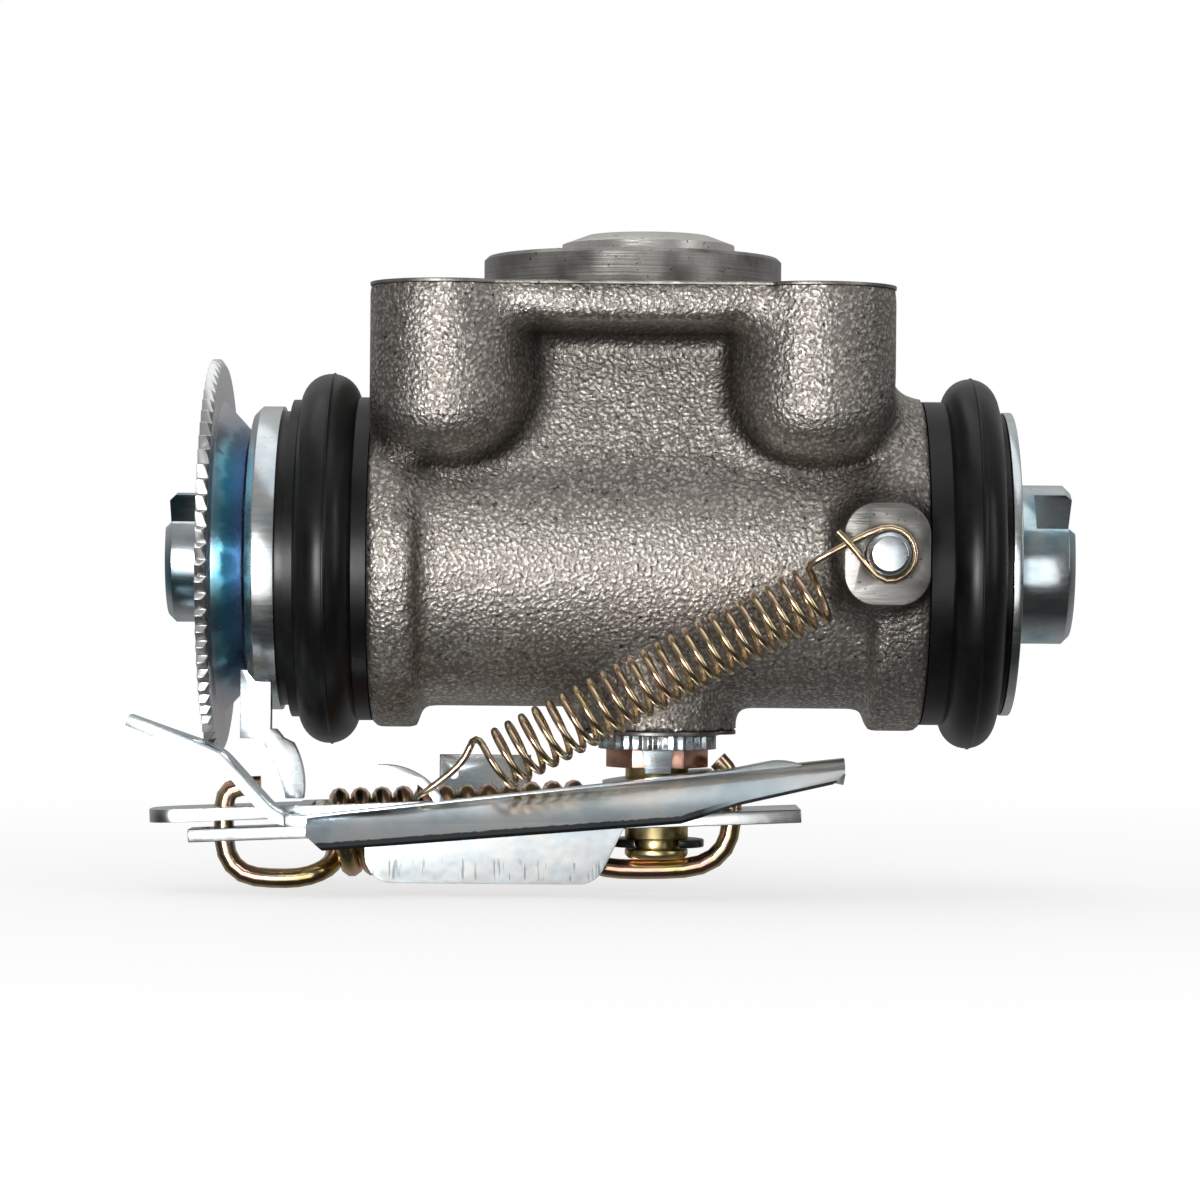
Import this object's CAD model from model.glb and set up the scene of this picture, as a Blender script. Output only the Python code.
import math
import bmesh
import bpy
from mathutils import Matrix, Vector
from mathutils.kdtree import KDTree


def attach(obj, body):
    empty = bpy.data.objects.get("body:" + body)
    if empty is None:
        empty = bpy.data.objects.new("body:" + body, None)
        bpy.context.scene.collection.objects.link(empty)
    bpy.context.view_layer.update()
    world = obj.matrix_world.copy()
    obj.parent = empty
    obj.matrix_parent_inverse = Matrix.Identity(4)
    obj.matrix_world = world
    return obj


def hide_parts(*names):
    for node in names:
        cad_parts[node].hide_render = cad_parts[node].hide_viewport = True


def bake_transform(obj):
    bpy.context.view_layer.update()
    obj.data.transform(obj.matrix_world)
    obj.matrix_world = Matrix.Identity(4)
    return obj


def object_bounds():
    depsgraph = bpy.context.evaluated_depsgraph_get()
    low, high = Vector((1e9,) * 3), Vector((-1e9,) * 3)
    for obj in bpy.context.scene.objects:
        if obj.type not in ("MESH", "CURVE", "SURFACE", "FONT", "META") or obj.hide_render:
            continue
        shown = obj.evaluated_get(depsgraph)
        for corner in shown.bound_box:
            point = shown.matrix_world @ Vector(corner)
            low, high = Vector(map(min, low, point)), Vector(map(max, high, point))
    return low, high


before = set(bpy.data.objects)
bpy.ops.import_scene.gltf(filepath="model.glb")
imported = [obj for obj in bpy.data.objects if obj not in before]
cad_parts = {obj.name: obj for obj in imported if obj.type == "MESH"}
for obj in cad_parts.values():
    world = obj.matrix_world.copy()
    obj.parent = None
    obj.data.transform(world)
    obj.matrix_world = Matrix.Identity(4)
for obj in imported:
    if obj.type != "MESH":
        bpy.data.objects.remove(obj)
cad_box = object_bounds()

# %% [markdown]
# A wheel cylinder pushes the two shoes of a drum brake apart. This one also takes up wear: a
# pressed lever clicks round a toothed wheel at the left end, and the wheel screws the left tappet
# out. The solids come from the CAD pack, in metres. This script gives them the finish that a
# camera sees. Each piece is made in a few cells: first why, then how. The sizes and places of the
# pieces are written in millimetres, and MM turns them into metres.

MM = 0.001
AXIS_HEIGHT = -34.9     # the bore's axis, below the mounting face
scene = bpy.context.scene
print("CAD box", [round(v, 4) for corner in cad_box for v in corner])

# %% [markdown]
# Shader maths reads best as plain sums. Blender builds it from Math nodes, one per sign. So a
# small class stands for the output of a node, and adds the right Math node whenever two such
# values are added, subtracted, multiplied or raised to a power.

# %% Sockets that can be added and multiplied
class Mask:
    """A number that changes over a surface."""

    def __init__(self, finish, socket):
        self.finish = finish
        self.socket = socket

    def __add__(self, other):
        return self.finish.maths("ADD", self, other)

    def __radd__(self, other):
        return self.finish.maths("ADD", other, self)

    def __sub__(self, other):
        return self.finish.maths("SUBTRACT", self, other)

    def __rsub__(self, other):
        return self.finish.maths("SUBTRACT", other, self)

    def __mul__(self, other):
        return self.finish.maths("MULTIPLY", self, other)

    def __rmul__(self, other):
        return self.finish.maths("MULTIPLY", other, self)

    def __pow__(self, other):
        return self.finish.maths("POWER", self, other)

    def __abs__(self):
        return self.finish.maths("ABSOLUTE", self)


# %% [markdown]
# A second class holds one material. Its `node` method adds any node from a type, settings and
# values. The other methods are the few nodes that the finishes below are made of: noise, a colour
# ramp, a band that stretches a value, a mix of two colours, and a bump.

# %% A material and its nodes
class Finish:
    """One material: its nodes are added by type, with settings first and socket values after."""

    def __init__(self, name):
        self.material = bpy.data.materials.new(name)
        self.material.use_nodes = True
        self.tree = self.material.node_tree
        self.shader = self.tree.nodes["Principled BSDF"]
        self.place = self.node("ShaderNodeTexCoord", output="Object")

    def node(self, kind, settings=None, sockets=None, output=0):
        node = self.tree.nodes.new(kind)
        for key, value in (settings or {}).items():
            setattr(node, key, value)
        for key, value in (sockets or {}).items():
            self.feed(node.inputs[key], value)
        return Mask(self, node.outputs[output])

    def feed(self, socket, value):
        if isinstance(value, Mask):
            self.tree.links.new(value.socket, socket)
        elif isinstance(value, tuple) and len(value) == 3 and socket.type == "RGBA":
            socket.default_value = (*value, 1.0)
        else:
            socket.default_value = value

    def set(self, **sockets):
        for key, value in sockets.items():
            self.feed(self.shader.inputs[key.replace("_", " ")], value)

    def maths(self, operation, first, second=0.0):
        return self.node("ShaderNodeMath", {"operation": operation}, {0: first, 1: second})

    def noise(self, size_mm, detail=2.0, stretch=None, roughness=0.5, place=None):
        """Cloudy noise whose blotches are about this many millimetres across, from 0 to 1."""
        place = place or self.place
        if stretch:
            place = self.node("ShaderNodeMapping", {"vector_type": "POINT"},
                              {"Vector": place, "Scale": stretch})
        return self.node("ShaderNodeTexNoise", None,
                         {"Vector": place, "Scale": 1.0 / (size_mm * MM), "Detail": detail,
                          "Roughness": roughness})

    def ramp(self, value, stops):
        """A colour ramp from (place, colour) stops."""
        node = self.tree.nodes.new("ShaderNodeValToRGB")
        elements = node.color_ramp.elements
        while len(elements) < len(stops):
            elements.new(0.5)
        for element, (place, colour) in zip(elements, stops):
            element.position = place
            element.color = (*colour, 1.0)
        self.feed(node.inputs["Fac"], value)
        return Mask(self, node.outputs["Color"])

    def band(self, value, low, high, to_low=0.0, to_high=1.0):
        """Stretches a value between two levels, and holds it there."""
        return self.node("ShaderNodeMapRange", None,
                         {"Value": value, "From Min": low, "From Max": high,
                          "To Min": to_low, "To Max": to_high}, output="Result")

    def mix(self, factor, first, second):
        """Mixes two colours. Of the node's many sockets, 6, 7 and the output 2 hold colours."""
        return self.node("ShaderNodeMix", {"data_type": "RGBA"},
                         {0: factor, 6: first, 7: second}, output=2)

    def bump(self, height, depth_mm):
        """A bump whose full height is this many millimetres."""
        return self.node("ShaderNodeBump", None,
                         {"Height": height, "Distance": depth_mm * MM, "Strength": 1.0},
                         output="Normal")

    def xyz(self):
        """The place on the piece as three numbers, in metres."""
        node = self.tree.nodes.new("ShaderNodeSeparateXYZ")
        self.feed(node.inputs[0], self.place)
        return [Mask(self, node.outputs[n]) for n in range(3)]


# %% [markdown]
# The body is grey iron, as the sand and the shot blast left it. It shines where it faces a lamp
# and goes nearly black where it turns away, so it is set almost wholly metallic and rough.
# Voronoi cells stand for the grains of sand and noise for the finer grit between them. Both drive
# the bump, and the same height lights the crests. Hollows that the blasting hardly reached stay
# dark: a mask works out the distance to the bolt bosses, the web and the pad from the place on
# the piece.

# %% Cast iron
BOSS_X, BOSS_RADIUS, BOSS_TURN_Z = 23.4, 10.0, -12.4     # a bolt boss and where its end turns under
WEB_UNDERSIDE = -5.0
ROUND_BOSSES_TO, UNDER_WEB_TO = 34.0, 16.0               # how far along X the dark hollows reach
PIN = (31.8, -34.0)                                      # the anchor pin's x and z


def sooty(finish):
    """The hollows round the bolt bosses, under the web and round the pad, from 0 to 1."""
    x, y, z = finish.xyz()
    # How far a point is from a boss, whose end turns under like half a ball, and a ring round that.
    across = abs(x) - BOSS_X * MM
    below = finish.maths("MINIMUM", z - BOSS_TURN_Z * MM, 0.0)
    outside = (across * across + below * below) ** 0.5
    rim = (finish.band(outside, (BOSS_RADIUS - 0.9) * MM, (BOSS_RADIUS + 0.9) * MM)
           * finish.band(outside, (BOSS_RADIUS + 4.2) * MM, (BOSS_RADIUS + 1.6) * MM)
           * finish.band(abs(x), ROUND_BOSSES_TO * MM, (ROUND_BOSSES_TO - 3.0) * MM))
    # A belt under the web, and nothing above the web's underside.
    web = (finish.band(z, (WEB_UNDERSIDE - 6.5) * MM, (WEB_UNDERSIDE - 1.0) * MM)
           * finish.band(abs(x), UNDER_WEB_TO * MM, (UNDER_WEB_TO - 4.0) * MM))
    low = finish.band(z, WEB_UNDERSIDE * MM, (WEB_UNDERSIDE - 1.2) * MM)
    # An oval ring round the foot of the pad, on the front only.
    out, up = x - PIN[0] * MM, z - PIN[1] * MM
    round_pad = (out * out + up * up * 0.75) ** 0.5
    pad = (finish.band(round_pad, 5.4 * MM, 6.2 * MM) * finish.band(round_pad, 9.5 * MM, 6.8 * MM)
           * finish.band(y, -8.0 * MM, -12.0 * MM) * 0.8)
    return finish.maths("MAXIMUM", finish.maths("MAXIMUM", rim, web) * low, pad)


def cast_iron():
    finish = Finish("cast_iron_skin")
    grain = finish.node("ShaderNodeTexVoronoi", {"feature": "F1"},
                        {"Vector": finish.place, "Scale": 1.0 / (0.62 * MM)}, output="Distance")
    height = (0.75 - grain) * 0.4 + finish.noise(0.42, 2.5, roughness=0.6) * 0.7
    crest = finish.band(height, 0.42, 0.62)
    pit = finish.band(finish.noise(0.75, 2.0, roughness=0.6), 0.385, 0.31)
    skin = finish.mix(finish.band(finish.noise(20.0, 2.0), 0.35, 0.65),
                      (0.235, 0.212, 0.190), (0.285, 0.260, 0.236))
    pitted = finish.mix(pit * 0.8, finish.mix(crest, skin, (0.62, 0.59, 0.54)),
                        (0.050, 0.040, 0.034))
    finish.set(Base_Color=finish.mix(sooty(finish) * 0.88, pitted, (0.040, 0.032, 0.028)),
               Metallic=0.95, Roughness=finish.band(crest, 0.0, 1.0, 0.44, 0.36),
               Normal=finish.bump(height, 0.25))
    return finish.material


CAST_IRON = cast_iron()
print(CAST_IRON.name, len(CAST_IRON.node_tree.nodes), "nodes")

# %% [markdown]
# Where a tool has cut, the iron is smoother and shows the tool's path. The spigot and the face
# round it were turned, so their lines are rings: the noise is read at the distance from the
# spigot's axis. The pad and the pivot boss were milled in straight lines. The port boss, which
# stands on the spigot, is the brightest.

# %% Cut iron
SPIGOT_TOP = 4.3


def cut_iron(name, turned, dark, bright):
    finish = Finish(name)
    x, y, z = finish.xyz()
    if turned:
        rings = finish.node("ShaderNodeCombineXYZ", None,
                            {"X": (x * x + y * y) ** 0.5, "Y": 0.0, "Z": z})
        lines = finish.noise(2.2, 3.0, stretch=(9.0, 1.0, 9.0), roughness=0.6, place=rings)
    else:
        lines = finish.noise(2.2, 3.0, stretch=(0.4, 0.4, 4.0), roughness=0.6)
    blotch = finish.noise(5.0, 3.0)
    pores = finish.band(finish.noise(0.7, 2.0), 0.66, 0.72)
    shade = finish.mix(finish.band(blotch, 0.35, 0.65), dark, bright)
    lined = finish.mix(finish.band(lines, 0.38, 0.62, 0.0, 0.6), shade, dark)
    port_boss = finish.band(z, SPIGOT_TOP * MM, (SPIGOT_TOP + 0.4) * MM)
    lined = finish.mix(port_boss * 0.8, lined, (0.78, 0.76, 0.72))
    finish.set(Base_Color=finish.mix(pores * 0.8, lined, (0.06, 0.055, 0.05)), Metallic=0.85,
               Roughness=finish.band(blotch, 0.3, 0.7, 0.30, 0.46),
               Normal=finish.bump(lines, 0.05))
    return finish.material


TURNED_IRON = cut_iron("turned_iron", True, (0.17, 0.16, 0.15), (0.42, 0.40, 0.38))
MILLED_IRON = cut_iron("milled_iron", False, (0.16, 0.154, 0.145), (0.26, 0.25, 0.237))
print(TURNED_IRON.name, MILLED_IRON.name)

# %% [markdown]
# The pressed parts are plated with zinc. Clear passivation leaves it silver with a breath of
# blue, and yellow passivation turns it gold, with pink and green where the film is thicker. Both
# are metal, so nearly all of the look is in what they mirror: low roughness, and a slow bump that
# bends it.

# %% Zinc plating, clear, blue and yellow
DENT = 0.05     # how deep the plating's slow waves are


def plated(name, tints, roughness, patch_mm=9.0):
    finish = Finish(name)
    patch = finish.noise(patch_mm, 3.0)
    streak = finish.noise(0.5, 2.0, stretch=(0.12, 1.0, 1.0))
    colour = finish.ramp(finish.band(patch, 0.3, 0.7), tints)
    speck = finish.band(finish.noise(0.8, 2.0), 0.62, 0.74)
    finish.set(Base_Color=finish.mix(speck * 0.30, colour, (0.34, 0.33, 0.32)), Metallic=1.0,
               Roughness=finish.band(streak, 0.25, 0.75, roughness - 0.03, roughness + 0.05),
               Normal=finish.bump(finish.noise(4.0, 2.0), DENT))
    return finish.material


CLEAR_TINTS = [(0.0, (0.46, 0.55, 0.60)), (0.4, (0.64, 0.69, 0.71)),
               (0.7, (0.70, 0.71, 0.70)), (1.0, (0.52, 0.60, 0.65))]
CLEAR_ZINC = plated("clear_zinc", CLEAR_TINTS, 0.24)
BLUE_ZINC = plated("blue_zinc", [(0.0, (0.22, 0.42, 0.50)), (0.35, (0.56, 0.66, 0.70)),
                                 (0.75, (0.72, 0.75, 0.76)), (1.0, (0.42, 0.56, 0.64))], 0.20)
YELLOW_ZINC = plated("yellow_zinc", [(0.0, (0.52, 0.36, 0.17)), (0.35, (0.74, 0.58, 0.30)),
                                     (0.6, (0.74, 0.42, 0.34)), (0.8, (0.60, 0.56, 0.30)),
                                     (1.0, (0.70, 0.50, 0.40))], 0.18, patch_mm=5.0)
SPRING_ZINC = plated("spring_zinc", [(0.0, (0.46, 0.35, 0.18)), (0.4, (0.74, 0.61, 0.38)),
                                     (0.7, (0.58, 0.40, 0.29)), (1.0, (0.82, 0.71, 0.50))], 0.22,
                     patch_mm=4.0)
STEEL = plated("ground_steel", [(0.0, (0.52, 0.52, 0.52)), (1.0, (0.64, 0.64, 0.63))], 0.28)
print([zinc.name for zinc in (CLEAR_ZINC, BLUE_ZINC, YELLOW_ZINC, SPRING_ZINC, STEEL)])

# %% [markdown]
# The stud's hexagon has the thickest film and is nearly copper pink, while its round journal is
# gold. The clip is spring steel, oiled black.

# %% The stud and its clip
HEX_BOTTOM = -61.4


def stud_zinc():
    finish = Finish("stud_zinc")
    z = finish.xyz()[2]
    patch = finish.noise(2.5, 2.0)
    shade = finish.band(patch, 0.3, 0.7)
    gold = finish.ramp(shade, [(0.0, (0.50, 0.40, 0.14)), (1.0, (0.78, 0.64, 0.36))])
    pink = finish.ramp(shade, [(0.0, (0.62, 0.30, 0.20)), (1.0, (0.76, 0.46, 0.36))])
    hexagon = finish.band(z + patch * (0.4 * MM), HEX_BOTTOM * MM, (HEX_BOTTOM + 0.4) * MM)
    finish.set(Base_Color=finish.mix(hexagon, gold, pink), Metallic=1.0,
               Roughness=finish.band(patch, 0.3, 0.7, 0.26, 0.36),
               Normal=finish.bump(finish.noise(1.5, 2.0), 0.02))
    return finish.material


STUD_ZINC = stud_zinc()
BLACK_STEEL = plated("oiled_steel", [(0.0, (0.05, 0.05, 0.055)), (1.0, (0.10, 0.10, 0.105))], 0.30)
print(STUD_ZINC.name, BLACK_STEEL.name)

# %% [markdown]
# Two pressed pieces show how they were made. The shears left a dark, torn band along the rim of
# the lever's skirt, and the bending tool scored the carrier's front wall near its lower edge.
# Both marks follow a line on the piece: the skirt's rim has a long gentle slope and a short steep
# one, and the upper of the two lines is the rim.

# %% The lever's and the carrier's plating
RIM_LINES = ((-38.3, -71.6, 0.085), (6.4, -67.8, 0.316))     # x, z and slope of each
RIM_BAND, SKIRT_FRONT = 1.18, -17.4
SCORE_TOP, SCORE_FOOT = -73.9, -75.7


def lever_zinc():
    finish = Finish("lever_zinc")
    x, y, z = finish.xyz()
    colour = finish.ramp(finish.band(finish.noise(9.0, 3.0), 0.3, 0.7), CLEAR_TINTS)
    lines = [x * slope + (at_z - slope * at_x) * MM for at_x, at_z, slope in RIM_LINES]
    torn = finish.noise(0.7, 3.0, roughness=0.7)
    above = z - finish.maths("MAXIMUM", *lines) + torn * (0.5 * MM)
    dark = (finish.band(above, (RIM_BAND + 0.12) * MM, RIM_BAND * MM)
            * finish.band(y, (SKIRT_FRONT + 0.4) * MM, SKIRT_FRONT * MM)
            * finish.band(x, 13.0 * MM, 9.0 * MM))
    finish.set(Base_Color=finish.mix(dark * 0.95, colour, (0.035, 0.037, 0.040)), Metallic=1.0,
               Roughness=finish.band(dark, 0.0, 1.0, 0.26, 0.45),
               Normal=finish.bump(finish.noise(4.0, 2.0), DENT))
    return finish.material


def scored_zinc():
    finish = Finish("scored_zinc")
    z = finish.xyz()[2]
    colour = finish.ramp(finish.band(finish.noise(9.0, 3.0), 0.3, 0.7), CLEAR_TINTS)
    lines = finish.noise(0.45, 2.0, stretch=(1.0, 1.0, 0.10))
    depth = finish.noise(2.0, 2.0) * (2.2 * MM) - z + SCORE_TOP * MM
    scores = (finish.band(lines, 0.58, 0.66) * finish.band(depth, 0.0, 0.5 * MM)
              * finish.band(z, SCORE_FOOT * MM, (SCORE_FOOT + 0.4) * MM))
    finish.set(Base_Color=finish.mix(scores * 0.7, colour, (0.20, 0.24, 0.27)), Metallic=1.0,
               Roughness=finish.band(finish.noise(3.0, 2.0), 0.3, 0.7, 0.22, 0.30),
               Normal=finish.bump(finish.noise(4.0, 2.0), DENT))
    return finish.material


LEVER_ZINC = lever_zinc()
SCORED_ZINC = scored_zinc()
print(LEVER_ZINC.name, SCORED_ZINC.name)

# %% [markdown]
# The toothed wheel is the bluest piece: its cone runs from steel blue under the rim to violet
# further in, and to lilac at its upper and lower ends, while the toothed rim stays white. The
# colour follows the distance from the bore's axis, which is worked out from the place on the
# piece.

# %% The wheel's colour
CONE_INSIDE, CONE_OUTSIDE = 15.0, 26.5


def wheel_zinc():
    finish = Finish("wheel_zinc")
    x, y, z = finish.xyz()
    up = z - AXIS_HEIGHT * MM
    radius = (y * y + up * up) ** 0.5
    patch = finish.noise(8.0, 2.0)
    along = finish.band(radius + patch * (0.6 * MM), CONE_INSIDE * MM, CONE_OUTSIDE * MM)
    blue = finish.ramp(along, [(0.08, (0.44, 0.50, 0.68)), (0.18, (0.26, 0.40, 0.60)),
                               (0.34, (0.15, 0.42, 0.54)), (0.44, (0.22, 0.48, 0.58)),
                               (0.49, (0.62, 0.60, 0.66)), (0.53, (0.62, 0.62, 0.63)),
                               (1.0, (0.76, 0.77, 0.77))])
    lilac = finish.mix(finish.band(along, 0.10, 0.49), (0.30, 0.27, 0.40), (0.66, 0.58, 0.62))
    ends = finish.band(abs(up), 13.0 * MM, 19.5 * MM) * finish.band(along, 0.52, 0.50)
    finish.set(Base_Color=finish.mix(ends, blue, lilac), Metallic=1.0,
               Roughness=finish.band(patch, 0.25, 0.75, 0.24, 0.32),
               Normal=finish.bump(finish.noise(5.0, 2.0), 0.03))
    return finish.material


WHEEL_ZINC = wheel_zinc()
print(WHEEL_ZINC.name, "from radius", CONE_INSIDE, "to", CONE_OUTSIDE, "mm")

# %% [markdown]
# Rubber is black all through. What shows its shape is a soft sheen and a thin grey bloom, so the
# colour hardly changes and the roughness does.

# %% Rubber
def rubber():
    finish = Finish("boot_rubber")
    bloom = finish.noise(6.0, 3.0)
    dust = finish.band(finish.noise(0.9, 2.0), 0.62, 0.78)
    colour = finish.mix(finish.band(bloom, 0.4, 0.7),
                        (0.0035, 0.0035, 0.004), (0.007, 0.007, 0.0075))
    finish.set(Base_Color=finish.mix(dust * 0.2, colour, (0.03, 0.03, 0.03)),
               Specular_IOR_Level=0.32, Roughness=finish.band(bloom, 0.3, 0.7, 0.28, 0.40),
               Normal=finish.bump(finish.noise(1.4, 2.0), 0.015))
    return finish.material


RUBBER = rubber()
print(RUBBER.name)

# %% [markdown]
# The camera comes before the pieces. The photograph was taken with a long lens, level with the
# bore and a little below the middle of the body, so the lens is long here too and slightly
# rolled. Blender shows data such as a camera, a lamp or a mesh only through an object that is
# linked to the scene, so a helper makes one.

# %% The camera
def linked(name, data):
    thing = bpy.data.objects.new(name, data)
    scene.collection.objects.link(thing)
    return thing


camera_data = bpy.data.cameras.new("camera")
camera_data.lens = 124.5
camera = linked("camera", camera_data)
camera.matrix_world = (Matrix.Translation(Vector((-3.9, -540.0, -40.0)) * MM)
                       @ Matrix.Rotation(math.radians(90), 4, "X")
                       @ Matrix.Rotation(math.radians(0.5), 4, "Z"))
scene.camera = camera
print("camera", camera_data.lens, "mm lens")

# %% [markdown]
# In the photograph the white paper lay behind the object and not below it, and light came from
# below the camera too. So the camera sees a floor that is grey near the object, like the soft
# shadow on that paper, and fades to white. But the floor stops no light, and no metal mirrors it.

# %% The floor
def meshed(name, bm):
    """An object from a bmesh, which is used up."""
    mesh = bpy.data.meshes.new(name)
    bm.to_mesh(mesh)
    bm.free()
    return linked(name, mesh)


FLOOR_DROP, GREY_TO, WHITE_FROM = 0.2, 60.0, 400.0     # below the object, and out from its middle
bm = bmesh.new()
bmesh.ops.create_grid(bm, x_segments=8, y_segments=8, size=3.0)
bmesh.ops.translate(bm, verts=bm.verts, vec=(0, 0, cad_box[0][2] - FLOOR_DROP * MM))
floor = meshed("floor", bm)
paper = Finish("floor_paper")
x, y, z = paper.xyz()
far = paper.band((x * x + y * y) ** 0.5, GREY_TO * MM, WHITE_FROM * MM)
paper.set(Base_Color=paper.mix(far, (0.40, 0.40, 0.40), (0.02, 0.02, 0.02)), Roughness=0.9,
          Emission_Color=paper.mix(far, (0.68, 0.68, 0.68), (1.0, 1.0, 1.0)),
          Emission_Strength=1.0)
floor.data.materials.append(paper.material)
floor.visible_diffuse = floor.visible_glossy = floor.visible_shadow = False
print("floor", FLOOR_DROP, "mm below the object")

# %% [markdown]
# Round the object is a photographer's white box. The camera sees it as plain white. What the
# metal mirrors is a grey that gets brighter upwards and backwards, so that a bent sheet shows its
# bends.

# %% The world
BOX_TOP, BOX_LOW, BOX_BACK = 0.36, 0.03, 0.26
world = bpy.data.worlds.new("studio")
scene.world = world
world.use_nodes = True
sky = world.node_tree


def sky_node(kind, **inputs):
    node = sky.nodes.new(kind)
    for key, value in inputs.items():
        socket = node.inputs[key.replace("_", " ")]
        if isinstance(value, bpy.types.NodeSocket):
            sky.links.new(value, socket)
        else:
            socket.default_value = value
    return node


facing = sky_node("ShaderNodeSeparateXYZ",
                  Vector=sky_node("ShaderNodeTexCoord").outputs["Generated"])
from_above = sky_node("ShaderNodeMapRange", Value=facing.outputs["Z"],
                      From_Min=-0.1, From_Max=0.8, To_Min=BOX_LOW, To_Max=BOX_TOP)
from_behind = sky_node("ShaderNodeMapRange", Value=facing.outputs["Y"],
                       From_Min=-0.2, From_Max=0.7, To_Min=0.0, To_Max=BOX_BACK)
mirrored = sky_node("ShaderNodeMath")     # it adds, unless it is told otherwise
sky.links.new(from_above.outputs[0], mirrored.inputs[0])
sky.links.new(from_behind.outputs[0], mirrored.inputs[1])
level = sky_node("ShaderNodeMix")
sky.links.new(sky_node("ShaderNodeLightPath").outputs["Is Camera Ray"], level.inputs[0])
sky.links.new(mirrored.outputs[0], level.inputs[2])
level.inputs[3].default_value = 1.0
background = sky.nodes["Background"]
sky.links.new(level.outputs[0], background.inputs["Strength"])
background.inputs["Color"].default_value = (1.0, 1.0, 1.0, 1.0)
print("world from", BOX_LOW, "to", round(BOX_TOP + BOX_BACK, 2), "as the metal mirrors it")

# %% [markdown]
# Four lamps do the rest. A broad one hangs above. A broad one stands close round the camera. A
# smaller and stronger one to the camera's left makes the highlights of the rough iron and the
# bright line down each wire. A narrow one on the right lights the sides that face it.

# %% The lamps
def lamp(name, place, target, size, power):
    data = bpy.data.lights.new(name, "AREA")
    data.shape = "RECTANGLE"
    data.size, data.size_y = size[0] * MM, size[1] * MM
    data.energy = power
    thing = linked(name, data)
    thing.location = Vector(place) * MM
    toward = Vector(target) - Vector(place)
    thing.rotation_euler = toward.to_track_quat("-Z", "Y").to_euler()


lamp("lamp_above", (-50, -50, 520), (0, 0, -40), (900, 400), 0.90)
lamp("lamp_key", (-180, -570, -70), (0, 0, -40), (140, 200), 2.3)
lamp("lamp_front", (-50, -600, -150), (0, 0, -45), (440, 400), 0.90)
lamp("lamp_right", (500, -340, 100), (0, 0, -40), (100, 400), 0.45)
scene.view_settings.view_transform = "Standard"
print(len(bpy.data.lights), "lamps")

# %% [markdown]
# Flat and pressed pieces keep their CAD shape. The copy loses its loose triangles: doubles are
# merged, flat faces joined, and each sharp edge gets a narrow bevel that catches the light.

# %% A CAD node with its edges eased
FLAT_WITHIN, SHARP_ABOVE = math.radians(1.0), math.radians(28.0)


def cad_copy(node):
    bm = bmesh.new()
    bm.from_mesh(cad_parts[node].data)
    bmesh.ops.remove_doubles(bm, verts=bm.verts, dist=2e-6)
    return bm


def flattened(bm):
    bmesh.ops.dissolve_limit(bm, angle_limit=FLAT_WITHIN, use_dissolve_boundaries=False,
                             verts=bm.verts, edges=bm.edges)
    return bm


def bevelled(bm, edges, offset_mm, segments):
    bmesh.ops.bevel(bm, geom=edges, offset=offset_mm * MM, segments=segments, profile=0.5,
                    affect="EDGES", material=-1, clamp_overlap=True)
    return bm


def softened(bm, offset_mm):
    flattened(bm)
    sharp = [edge for edge in bm.edges
             if len(edge.link_faces) == 2 and edge.calc_face_angle(0.0) > SHARP_ABOVE]
    return bevelled(bm, sharp, offset_mm, 2)


# %% [markdown]
# Every piece ends in the same way: one finish, smooth shading that stops at sharp edges, the body
# it rides on, and the CAD node it stands for. A piece that stretches between two bodies rides on
# neither of them; it is blended between them afterwards.

# %% Dressing a piece
def dress(thing, finish, body, node, smooth_below=35.0):
    mesh = thing.data
    mesh.materials.clear()
    mesh.materials.append(finish)
    mesh.shade_smooth()
    mesh.set_sharp_from_angle(angle=math.radians(smooth_below))
    if body:
        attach(thing, body)
    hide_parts(node)
    print(thing.name, len(mesh.polygons), "faces")
    return thing


# %% [markdown]
# The casting is the largest piece. Where a tool has cut it, it is true and crisp: the top with
# its spigot, the pad, the pivot boss, the ends and the bore's mouths. The first three are sliced
# off the CAD copy here and come back later as crisp pieces. The rest of the cut faces stay out of
# all the rounding that follows.

# %% Where a tool has cut
SPIGOT_CUT, PAD_CUT, BOSS_CUT = -0.45, -24.15, -56.7
LEFT_END, RIGHT_END, MOUTH_RADIUS = -33.0, 37.3, 17.9
CUTS = (("turned_spigot", TURNED_IRON, (0, 0, SPIGOT_CUT), Vector((0, 0, 1))),
        ("milled_pad", MILLED_IRON, (0, PAD_CUT, 0), Vector((0, -1, 0))),
        ("milled_boss", MILLED_IRON, (0, 0, BOSS_CUT), Vector((0, 0, -1))))


def sliced(bm, point, normal):
    """Keeps the side of a copy that the normal points away from, and closes the cut."""
    cut = bmesh.ops.bisect_plane(bm, geom=bm.verts[:] + bm.edges[:] + bm.faces[:], dist=1e-7,
                                 plane_co=Vector(point) * MM, plane_no=normal, clear_outer=True)
    rim = [part for part in cut["geom_cut"] if isinstance(part, bmesh.types.BMEdge)]
    bmesh.ops.triangle_fill(bm, edges=rim, use_beauty=True)
    bmesh.ops.recalc_face_normals(bm, faces=bm.faces)


def stays_true(v):
    """Whether a point of the casting, in millimetres, lies on a face or an edge that a tool cut."""
    x, y, z = v
    bore = math.hypot(y, z - AXIS_HEIGHT)
    near_pad = abs(x - PIN[0]) < 7.0 and abs(z - PIN[1]) < 8.0
    return (z > SPIGOT_CUT - 0.4 or x < LEFT_END or x > RIGHT_END or bore < MOUTH_RADIUS
            or z < BOSS_CUT + 0.3 or (near_pad and y < PAD_CUT + 0.4))


# %% [markdown]
# Sand can't hold a sharp inside corner, so a casting has a broad fillet in each. The corners of
# the copy are found by the angle between their faces, and points are laid along them: they will
# say how near a corner the skin is. The walls between the bosses also lean in, as the pattern had
# to be drawn out of the sand.

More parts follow.
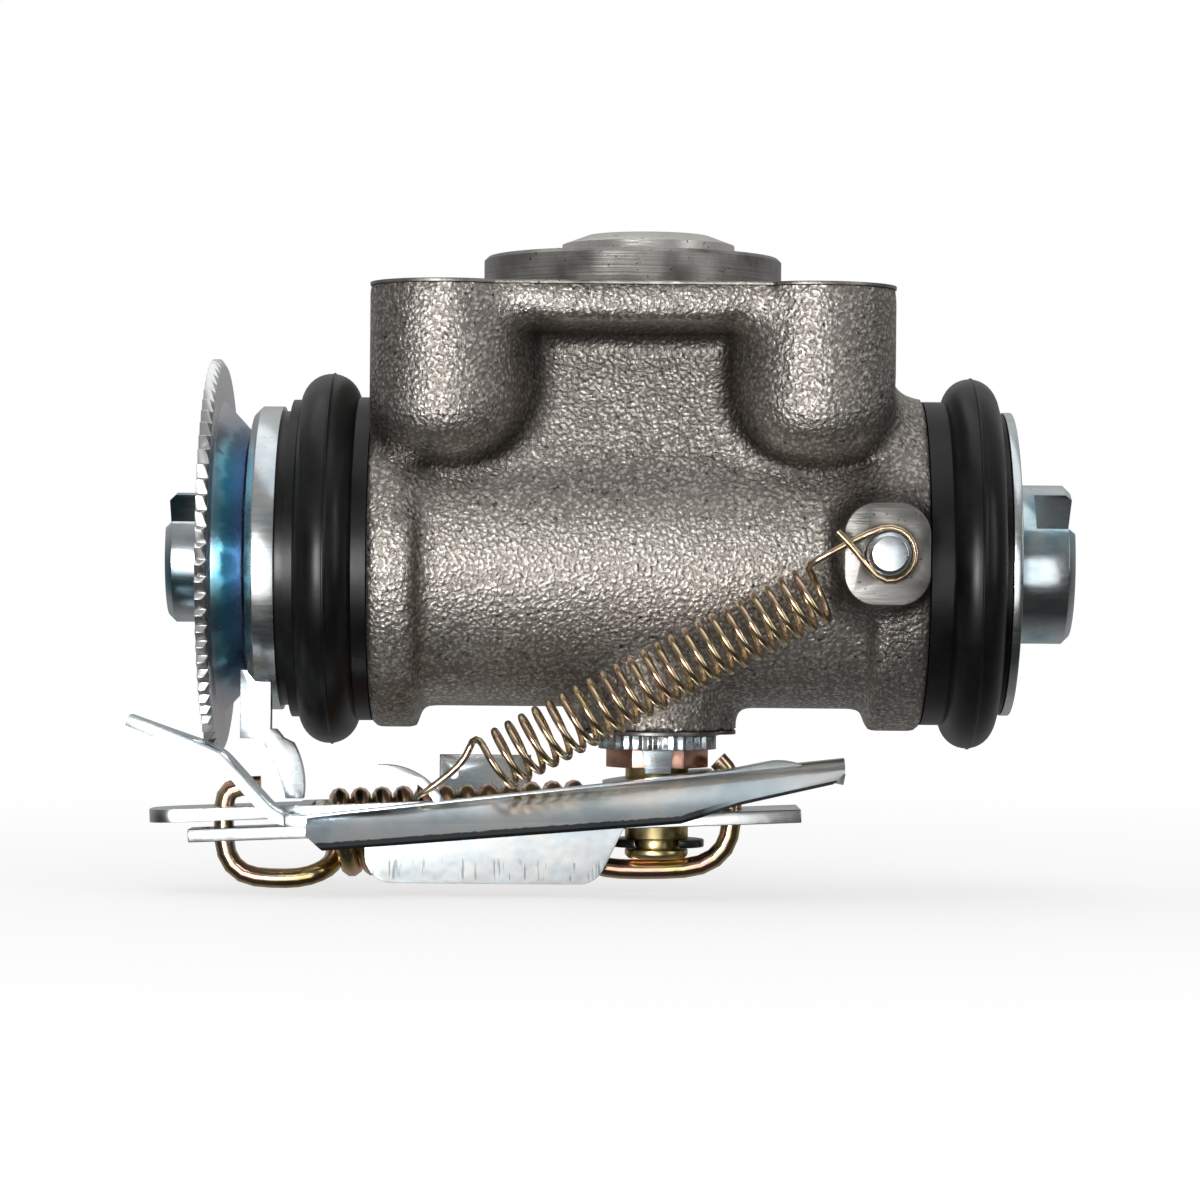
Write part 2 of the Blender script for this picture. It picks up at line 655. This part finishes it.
# %% The corners and the draft
NECK_LEAN = 3.2
CORNER = math.radians(-20)     # an inside corner's angle counts as negative


def hollows(bm, spacing=0.8):
    """Points along the inside corners of a sharp-edged copy, in metres."""
    points = []
    for edge in bm.edges:
        if len(edge.link_faces) == 2 and edge.calc_face_angle_signed(0.0) < CORNER:
            first, last = edge.verts[0].co, edge.verts[1].co
            if stays_true(first / MM) or stays_true(last / MM):
                continue
            count = max(1, int((last - first).length / (spacing * MM)))
            points += [first.lerp(last, n / count) for n in range(count + 1)]
    return points


def share(value, none, full):
    """How far a value has come on its way between two levels, from 0 to 1."""
    return min(1.0, max(0.0, (value - none) / (full - none)))


def neck_draft(v):
    """How far, in millimetres, the neck between the bosses leans in at a point of its walls."""
    x, y, z = v
    on_wall = share(abs(y), 18.0, 15.0) if abs(y) > 10.0 else 0.0
    return NECK_LEAN * share(abs(x), 17.0, 13.0) * on_wall * share(z, -21.0, -6.0)


# %% [markdown]
# A voxel remesh turns the copy into an even skin of small faces, whatever the CAD triangles were.
# Smoothing then moves each point toward its neighbours. It runs most often near the corners,
# which makes the fillets, and a few times wherever else the skin is as cast, which takes the
# hardness off the outer edges.

# %% The casting
SKIN_GRID = 0.6
PASSES = ((4.5, 36, -30.0), (3.0, 24, -30.0), (2.0, 8, -99.0), (99.0, 5, -99.0))


def skinned(thing):
    """The object's shape as an even skin, in a bmesh."""
    skin = thing.modifiers.new("skin", "REMESH")
    skin.mode = "VOXEL"
    skin.voxel_size = SKIN_GRID * MM
    whole = bpy.data.meshes.new_from_object(
        thing.evaluated_get(bpy.context.evaluated_depsgraph_get()))
    thing.modifiers.clear()
    bm = bmesh.new()
    bm.from_mesh(whole)
    return bm


def casting():
    bm = cad_copy("cylinder_body")
    corners = hollows(bm)
    near = KDTree(len(corners))
    for number, point in enumerate(corners):
        near.insert(point, number)
    near.balance()
    for name, finish, point, outward in CUTS:
        sliced(bm, point, outward)
    thing = meshed("casting", bm)
    bm = skinned(thing)
    cast = [v for v in bm.verts if not stays_true(v.co / MM)]
    corner_distance = {v: near.find(v.co)[2] / MM for v in cast}
    for v in cast:
        v.co.y -= math.copysign(neck_draft(v.co / MM) * MM, v.co.y)
    for reach, turns, above in PASSES:     # how near a corner, how many times, above which height
        part = [v for v in cast if corner_distance[v] < reach and v.co.z > above * MM]
        for turn in range(turns):
            bmesh.ops.smooth_vert(bm, verts=part, factor=0.5, use_axis_x=True, use_axis_y=True,
                                  use_axis_z=True)
    print("casting", len(corners), "corner points,", len(cast), "cast points")
    bm.to_mesh(thing.data)
    bm.free()
    return thing


body = casting()
dress(body, CAST_IRON, "housing", "cylinder_body", smooth_below=60.0)

# %% [markdown]
# The faces that were sliced off come back from three more copies, cut on the other side of the
# same planes. Their edges are eased a little and they get the finish of cut iron.

# %% Its turned and milled faces
def piece(name, bm, finish, body, node, smooth_below=35.0):
    return dress(meshed(name, bm), finish, body, node, smooth_below)


for name, finish, point, outward in CUTS:
    bm = cad_copy("cylinder_body")
    sliced(bm, point, -outward)
    dressed = piece(name, softened(bm, 0.15), finish, "housing", "cylinder_body")

# %% [markdown]
# Round pieces are spun. A lathe needs half a section, so a helper takes (x, radius) corners in
# millimetres, joins them into a closed loop and spins the loop about the bore's axis.

# %% A lathe on the bore
def lathe(section, steps=128):
    bm = bmesh.new()
    corners = [bm.verts.new((x * MM, 0, (r + AXIS_HEIGHT) * MM)) for x, r in section]
    for first, second in zip(corners, corners[1:] + corners[:1]):
        bm.edges.new((first, second))
    bmesh.ops.spin(bm, geom=bm.verts[:] + bm.edges[:], cent=(0, 0, AXIS_HEIGHT * MM),
                   axis=(1, 0, 0), angle=math.tau, steps=steps, use_merge=True)
    bmesh.ops.remove_doubles(bm, verts=bm.verts, dist=1e-6)
    bmesh.ops.recalc_face_normals(bm, faces=bm.faces)
    return bm


# %% [markdown]
# A boot is moulded in one piece: a foot in the body's mouth, a bulge that rolls as the piston
# moves, and stepped rings where it grips the piston. The mould's halves meet on the bulge and
# leave a thin raised line there. The bulge is an arc through three points, so that half a section
# is easy to draw, and the lathe makes the rest.

# %% The rubber boots
FOOT_RADIUS, BULGE_RADIUS, BOOT_WALL = 21.0, 24.0, 1.5
SEAM = ((-0.16, 0), (-0.064, 0.14), (0.064, 0.14), (0.16, 0))     # along X and outwards


def arc(first, through, last, steps):
    """Points of the circle through three (x, radius) points, from the first to the last."""
    (ax, ay), (bx, by), (cx, cy) = first, through, last
    a, b, c = ax * ax + ay * ay, bx * bx + by * by, cx * cx + cy * cy
    d = 2 * (ax * (by - cy) + bx * (cy - ay) + cx * (ay - by))
    centre = Vector(((a * (by - cy) + b * (cy - ay) + c * (ay - by)) / d,
                     (a * (cx - bx) + b * (ax - cx) + c * (bx - ax)) / d))
    start, middle, end = (Vector(point) - centre for point in (first, through, last))
    sweep = start.angle_signed(middle) + middle.angle_signed(end)
    return [tuple(centre + Matrix.Rotation(-sweep * n / steps, 2) @ start)
            for n in range(steps + 1)]


def boot_section(face, way, neck, bulge, steps, end):
    """(x, radius) corners of a boot, from its foot over the bulge to its rings and back inside."""
    middle = (neck + bulge) / 2
    ring = steps[0][0]
    outer = arc((neck, FOOT_RADIUS), (middle, BULGE_RADIUS), (bulge, ring), 20)
    inner = arc((neck + BOOT_WALL / 2, FOOT_RADIUS - BOOT_WALL),
                (middle, BULGE_RADIUS - BOOT_WALL), (bulge - BOOT_WALL / 2, ring - BOOT_WALL), 12)
    seam = [(outer[9][0] + along, outer[9][1] + out) for along, out in SEAM]
    corners = [(-2.9, 15.6), (-2.9, 18.1), (0.05, 18.1), (0.05, FOOT_RADIUS)]
    corners += outer[:9] + seam + outer[10:]
    reached = bulge
    for radius, out in steps:
        corners += [(reached + 0.05, radius), (out, radius)]
        reached = out
    corners += [(end, radius - 0.7), (end, 12.5)]
    corners += [(end - 1.8, 12.5), (end - 1.8, radius - BOOT_WALL)] + inner[::-1] + [(0.6, 16.3)]
    return [(face + way * x, r) for x, r in corners]


left_boot = piece("left_boot_skin",
                  lathe(boot_section(-33.3, -1, 1.9, 9.3, [(20.6, 10.4), (19.1, 11.7)], 14.0)),
                  RUBBER, None, "left_boot", smooth_below=50)
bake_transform(left_boot)
right_boot = piece("right_boot_skin",
                   lathe(boot_section(37.6, 1, 2.8, 9.4, [(19.6, 10.3)], 10.3)),
                   RUBBER, None, "right_boot", smooth_below=50)
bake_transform(right_boot)

# %% [markdown]
# A spring is one length of wire. A NURBS curve with a round bevel gives that: its control points
# run up the coil, twelve to a turn, and on through the hooks. The curve cuts inside its control
# points, so the coil's points stand out by the share that it loses. Made a mesh, the wire can
# then stretch between the two bodies that it joins.

# %% Wire and coils
PER_TURN = 12


def wire(name, points, radius, finish, node):
    data = bpy.data.curves.new(name, "CURVE")
    data.dimensions = "3D"
    data.bevel_depth = radius * MM
    data.bevel_resolution = 3
    data.resolution_u = 2
    data.use_fill_caps = True
    spline = data.splines.new("NURBS")
    spline.points.add(len(points) - 1)
    for spot, point in zip(spline.points, points):
        spot.co = (*(Vector(point) * MM), 1.0)
    spline.order_u = 4
    spline.use_endpoint_u = True
    curve = linked(name + "_curve", data)
    mesh = bpy.data.meshes.new_from_object(
        curve.evaluated_get(bpy.context.evaluated_depsgraph_get()))
    bpy.data.objects.remove(curve)
    mesh.name = name
    return dress(linked(name, mesh), finish, None, node, smooth_below=70)


def coil(low, high, side, radius, turns):
    """Control points of a coil from low to high that starts on the given side."""
    along = Vector(high) - Vector(low)
    axis = along.normalized()
    out = (Vector(side) - axis * axis.dot(Vector(side))).normalized()
    across = axis.cross(out)
    reach = 3.0 * radius / (2.0 + math.cos(math.tau / PER_TURN))
    points = []
    for step in range(turns * PER_TURN + 1):
        turn = math.tau * step / PER_TURN
        points.append(Vector(low) + along * step / (turns * PER_TURN)
                      + (out * math.cos(turn) + across * math.sin(turn)) * reach)
    return points


# %% [markdown]
# The light spring pulls the lever back after each click. Its tail hooks into the lever's tongue,
# the coil runs up across the front, and a loop of one open turn goes round the pin. The wire is
# thin, so each bend is a row of close control points.

# %% The lever spring, from the tongue to the pin
low, high = (-17.0, -19.6, -60.6), (23.5, -25.6, -38.7)
PIN_LOOP, PIN_LOOP_Y = 3.6, -26.1
tail = [(-26.3, -14.8, -62.6), (-26.3, -14.6, -64.6), (-26.6, -16.2, -65.0),
        (-27.2, -18.6, -65.1), (-26.0, -19.5, -64.6), (-22.5, -19.9, -62.0),
        (-20.3, -20.1, -59.8), (-19.8, -19.9, -57.4)]
turns = coil(low, high, (0, 0, 1), 3.6, 24)
ring = [(PIN[0] + PIN_LOOP * math.cos(math.radians(angle)), PIN_LOOP_Y - 0.18 * number,
         PIN[1] + PIN_LOOP * math.sin(math.radians(angle)))
        for number, angle in enumerate(range(125, -150, -40))]
lever_spring = wire("lever_spring_wire",
                    tail + turns[1:-1] + [(21.6, -25.8, -35.6), (24.4, -26.0, -34.0)]
                    + ring + [(27.6, -27.5, -33.4), (26.1, -27.5, -32.0), (25.4, -27.4, -31.3)],
                    0.45, SPRING_ZINC, "lever_spring")
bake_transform(lever_spring)

# %% [markdown]
# The stiff spring holds the carrier and the link plate together, and gives way when the wheel
# sticks. Its coil is close wound. Both hooks start under the coil and rise at its ends in the
# coil's own plane, the left one into the carrier and the right one into the link plate.

# %% The overload spring and its two hooks
left, right = (-38.3, -7.0, -70.18), (-5.5, -7.0, -68.74)
left_hook = [(-47.3, -7, -64.2), (-49.4, -7, -64.15), (-51.6, -7, -64.6), (-51.95, -7, -66.6),
             (-51.95, -7, -69.6), (-51.85, -7, -73.2), (-49.6, -7, -75.9), (-45.6, -7, -76.1),
             (-42.0, -7, -76.1), (-39.4, -7, -75.2)]
right_hook = [(-4.3, -7, -74.0), (-2.0, -7, -74.6), (4.5, -7, -74.5), (9.4, -7, -74.3),
              (12.6, -7, -72.0), (13.3, -7, -68.6), (13.25, -7, -65.0), (13.1, -7, -62.2),
              (12.2, -7, -61.2), (11.4, -7, -60.4)]
turns = coil(left, right, (0, 0, -1), 4.45, 12)
overload_spring = wire("overload_spring_wire", left_hook + turns[1:-1] + right_hook, 1.3,
                       YELLOW_ZINC, "overload_spring")
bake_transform(overload_spring)

# %% [markdown]
# Everything that is pressed, turned or milled keeps its CAD shape, with its edges eased. How much
# depends on the process: a blanked sheet has a quarter of a millimetre, a milled slot far less.
# The lever was blanked from sheet and its skirt bent down. The blank's edge is square to the
# sheet, so on the leaning skirt the rim shows as a second, narrow face. One wide bevel with a
# single flat makes it: it is put on the edges where the skirt's outside meets its underside.

# %% The lever and its skirt
RIM_WIDTH = 0.95


def lever():
    bm = flattened(cad_copy("adjuster_lever"))
    rim = []
    for edge in bm.edges:
        normals = [face.normal for face in edge.link_faces]
        outside = any(n.y < -0.6 and n.z > 0.3 for n in normals)
        underside = any(n.z < -0.9 for n in normals)
        if outside and underside:
            rim.append(edge)
    print("lever's rim", len(rim), "edges")
    return softened(bevelled(bm, rim, RIM_WIDTH, 1), 0.2)


piece("adjuster_lever_eased", lever(), LEVER_ZINC, "lever", "adjuster_lever")

# %% [markdown]
# A bent tab springs back a little when the tool lets go. The carrier's rear tab leans for that
# reason. Moving each of its points back, in step with its height above the bend, is all it takes.

# %% The carrier and its rear tab
TAB_LEFT, TAB_RIGHT, TAB_FRONT = -24.8, -12.5, -0.2
TAB_FOOT, TAB_LEAN = -64.2, 0.30


def carrier():
    bm = cad_copy("spring_carrier")
    for v in bm.verts:
        x, y, z = v.co / MM
        if TAB_LEFT < x < TAB_RIGHT and y > TAB_FRONT - 0.1 and z > TAB_FOOT:
            v.co.y += TAB_LEAN * (z - TAB_FOOT) * MM
    return softened(bm, 0.25)


piece("spring_carrier_eased", carrier(), SCORED_ZINC, "lever", "spring_carrier")

# %% [markdown]
# The boot retainer is a pressed ring with a lug, and the lug ends in a finger at the lever. The
# photograph shows the finger broader than the CAD shape has it, most of all at its top. The
# finger's points move away from its bowed middle line, which a short formula gives for each
# height.

# %% The boot retainer and its finger
LUG_BOTTOM, FINGER_FOOT, BROADER = -58.0, -65.6, 0.9
FINGER_X, FINGER_RUN, FINGER_BOW = -45.6, 3.0, 3.6


def retainer():
    bm = cad_copy("boot_retainer")
    for v in bm.verts:
        x, y, z = v.co / MM
        if z < LUG_BOTTOM - 0.1:
            down = (LUG_BOTTOM - z) / (LUG_BOTTOM - FINGER_FOOT)
            middle = FINGER_X + FINGER_RUN * down + FINGER_BOW * down * (1 - down)
            v.co.x += (BROADER if x > middle else -BROADER) * MM * (1 - 0.5 * down)
    return softened(bm, 0.25)


piece("boot_retainer_eased", retainer(), CLEAR_ZINC, "left_piston", "boot_retainer")

# %% [markdown]
# The other metal pieces that show need only their edges eased. The wheel's teeth are small, so
# they get the narrowest bevel, or it would eat them.

# %% The other metal pieces
for node, offset, finish, rides_on in (
        ("link_plate", 0.25, CLEAR_ZINC, "link_plate"),
        ("adjuster_wheel", 0.07, WHEEL_ZINC, "adjuster_wheel"),
        ("adjuster_screw", 0.25, BLUE_ZINC, "adjuster_screw"),
        ("right_tappet", 0.25, BLUE_ZINC, "right_tappet"),
        ("dust_plate", 0.15, CLEAR_ZINC, "right_piston"),
        ("pivot_stud", 0.15, STUD_ZINC, "housing"),
        ("lock_washer", 0.1, CLEAR_ZINC, "housing"),
        ("retaining_clip", 0.15, BLACK_STEEL, "housing"),
        ("anchor_pin", 0.12, CLEAR_ZINC, "housing")):
    piece(node + "_eased", softened(cad_copy(node), offset), finish, rides_on, node)

# %% [markdown]
# The pieces inside the bore are hidden and stay as the CAD has them. They get their finish here,
# and so do the CAD nodes of the pieces above, in case one is ever shown in its plain shape.

# %% The finishes of the CAD nodes
for finish, nodes in (
        (STEEL, ("left_piston", "right_piston", "left_cup_expander", "right_cup_expander",
                 "cup_spring", "adjuster_sleeve")),
        (RUBBER, ("left_cup", "right_cup", "left_boot", "right_boot")),
        (CLEAR_ZINC, ("anchor_pin", "lock_washer", "boot_retainer", "dust_plate", "link_plate")),
        (BLUE_ZINC, ("adjuster_screw", "right_tappet")),
        (SPRING_ZINC, ("overload_spring", "lever_spring")),
        (STUD_ZINC, ("pivot_stud",)), (BLACK_STEEL, ("retaining_clip",)),
        (WHEEL_ZINC, ("adjuster_wheel",)), (LEVER_ZINC, ("adjuster_lever",)),
        (SCORED_ZINC, ("spring_carrier",))):
    for node in nodes:
        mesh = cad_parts[node].data
        mesh.materials.clear()
        mesh.materials.append(finish)
    print(finish.name, "on", len(nodes), "nodes")
